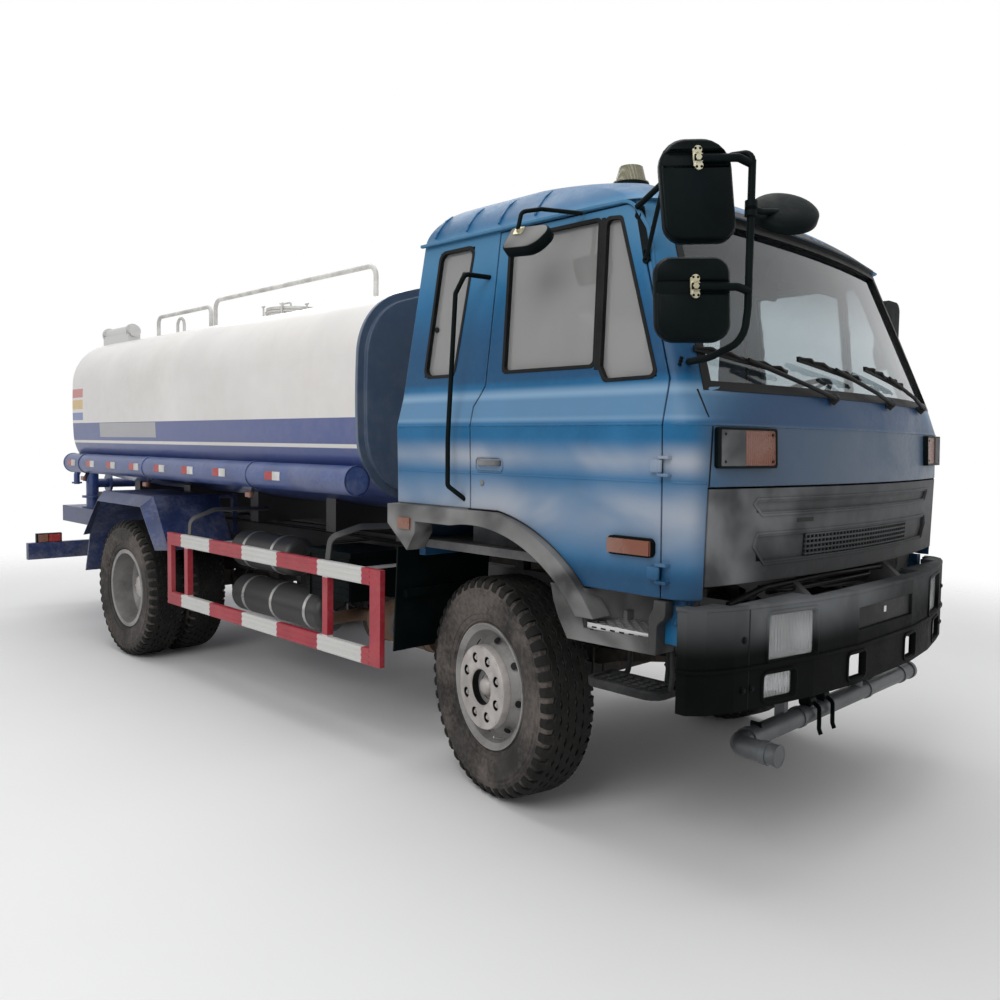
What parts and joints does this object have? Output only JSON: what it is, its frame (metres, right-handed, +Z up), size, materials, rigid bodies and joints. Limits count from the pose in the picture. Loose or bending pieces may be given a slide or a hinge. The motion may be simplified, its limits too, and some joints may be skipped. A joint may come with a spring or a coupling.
{
  "type": "water tanker truck",
  "caption": "Forward-control water tanker with a tilting cab, oval tank, twin rear wheels, side guards and a front spray pipe.",
  "frame": {"origin": "on the ground, midway between the front and rear ends and on the middle plane", "axes": "+X forward, +Y to the vehicle's left, +Z up"},
  "size_m": [7.8322, 2.902, 2.9723],
  "materials": {
    "cab_paint": "semi-gloss",
    "tank_paint": "semi-gloss",
    "navy_paint": "satin",
    "blue_pipe": "satin",
    "guard_paint": "satin",
    "black_plastic": "matt",
    "grey_plastic": "matt",
    "chassis_black": "matt",
    "wheel_paint": "dusty",
    "tyre": "matt",
    "glass": "clear",
    "lamp": "clear lens",
    "trim_fabric": "woven",
    "cast": "oily",
    "bare_steel": "worn"
  },
  "bodies": {
    "chassis": {"frame_rails": "chassis_black", "cross_members": "chassis_black", "tank_bearers": "chassis_black", "tank_saddles": "chassis_black", "front_axle": "cast", "leaf_springs": "cast", "rear_axle": "cast", "engine": "cast", "exhaust": "bare_steel", "air_tanks": "chassis_black", "battery_box": "black_plastic", "fuel_tank": "chassis_black", "bumper": "black_plastic", "spray_bar": "chassis_black", "front_lamps": "lamp", "tank": "tank_paint", "tank_rails": "tank_paint", "top_pipe": "bare_steel", "side_tubes": "blue_pipe", "side_guards": "guard_paint", "mudguards": "navy_paint", "front_flaps": "black_plastic", "rear_platform": "navy_paint", "pump": "blue_pipe"},
    "knuckle_right": {"knuckle_right": "cast"},
    "knuckle_left": {"knuckle_left": "cast"},
    "track_rod": {"track_rod": "cast"},
    "front_wheel_right": {"front_rim_right": "wheel_paint", "front_tyre_right": "tyre"},
    "front_wheel_left": {"front_rim_left": "wheel_paint", "front_tyre_left": "tyre"},
    "rear_wheels_right": {"rear_rims_right": "wheel_paint", "rear_tyres_right": "tyre"},
    "rear_wheels_left": {"rear_rims_left": "wheel_paint", "rear_tyres_left": "tyre"},
    "cab": {"cab_floor": "cab_paint", "cab_back": "cab_paint", "cab_sides": "cab_paint", "cab_roof": "cab_paint", "cab_front": "cab_paint", "grille_panel": "grey_plastic", "cab_glass": "glass", "arch_flares": "grey_plastic", "cab_steps": "black_plastic", "seats": "trim_fabric", "dashboard": "grey_plastic", "column_sleeve": "black_plastic", "mirrors_right": "black_plastic", "grab_handles": "black_plastic", "cab_lamps": "lamp"},
    "steering_wheel": {"steering_wheel": "black_plastic"},
    "door_right": {"door_right": "cab_paint", "door_glass_right": "glass", "door_lamp_right": "lamp"},
    "door_left": {"door_left": "cab_paint", "door_glass_left": "glass", "door_lamp_left": "lamp", "mirror_left": "black_plastic"},
    "manhole_lid": {"manhole_lid": "tank_paint"}
  },
  "joints": [
    {"name": "steer_right", "type": "hinge", "parent": "chassis", "child": "knuckle_right", "pos_m": [2.43385, -0.79, 0.523], "axis": [0, 0, 1], "range_deg": [-23, 47]},
    {"name": "steer_left", "type": "hinge", "parent": "chassis", "child": "knuckle_left", "pos_m": [2.43385, 0.79, 0.523], "axis": [0, 0, 1], "range_deg": [-23, 47]},
    {"name": "track_rod_pin", "type": "hinge", "parent": "knuckle_left", "child": "track_rod", "pos_m": [2.248, 0.8295, 0.4017], "axis": [0, 0, 1], "range_deg": [-47, 23]},
    {"name": "front_spin_right", "type": "hinge", "parent": "knuckle_right", "child": "front_wheel_right", "pos_m": [2.43385, -0.79, 0.523], "axis": [0.2079, 0.9781, 0], "continuous": true},
    {"name": "front_spin_left", "type": "hinge", "parent": "knuckle_left", "child": "front_wheel_left", "pos_m": [2.43385, 0.79, 0.523], "axis": [0.2079, 0.9781, 0], "continuous": true},
    {"name": "rear_spin_right", "type": "hinge", "parent": "chassis", "child": "rear_wheels_right", "pos_m": [-1.51615, -0.925, 0.523], "axis": [0, 1, 0], "continuous": true},
    {"name": "rear_spin_left", "type": "hinge", "parent": "chassis", "child": "rear_wheels_left", "pos_m": [-1.51615, 0.925, 0.523], "axis": [0, 1, 0], "continuous": true},
    {"name": "cab_tilt", "type": "hinge", "parent": "chassis", "child": "cab", "pos_m": [3.68885, 0, 1], "axis": [0, 1, 0], "range_deg": [0, 45]},
    {"name": "door_right_hinge", "type": "hinge", "parent": "cab", "child": "door_right", "pos_m": [3.45285, -1.219, 1.4], "axis": [0, 0, 1], "range_deg": [0, 70]},
    {"name": "door_left_hinge", "type": "hinge", "parent": "cab", "child": "door_left", "pos_m": [3.45285, 1.219, 1.4], "axis": [0, 0, -1], "range_deg": [0, 70]},
    {"name": "steering_turn", "type": "hinge", "parent": "cab", "child": "steering_wheel", "pos_m": [2.98385, 0.64, 1.925], "axis": [-0.4695, 0, 0.8829], "range_deg": [-414, 846]},
    {"name": "lid_hinge", "type": "hinge", "parent": "chassis", "child": "manhole_lid", "pos_m": [-0.95615, 0.3, 2.72], "axis": [-1, 0, 0], "range_deg": [0, 105]}
  ],
  "couplings": [
    {"joint": "steer_left", "follows": "steer_right", "ratio": 1},
    {"joint": "track_rod_pin", "follows": "steer_right", "ratio": -1},
    {"joint": "steering_turn", "follows": "steer_right", "ratio": 18}
  ]
}
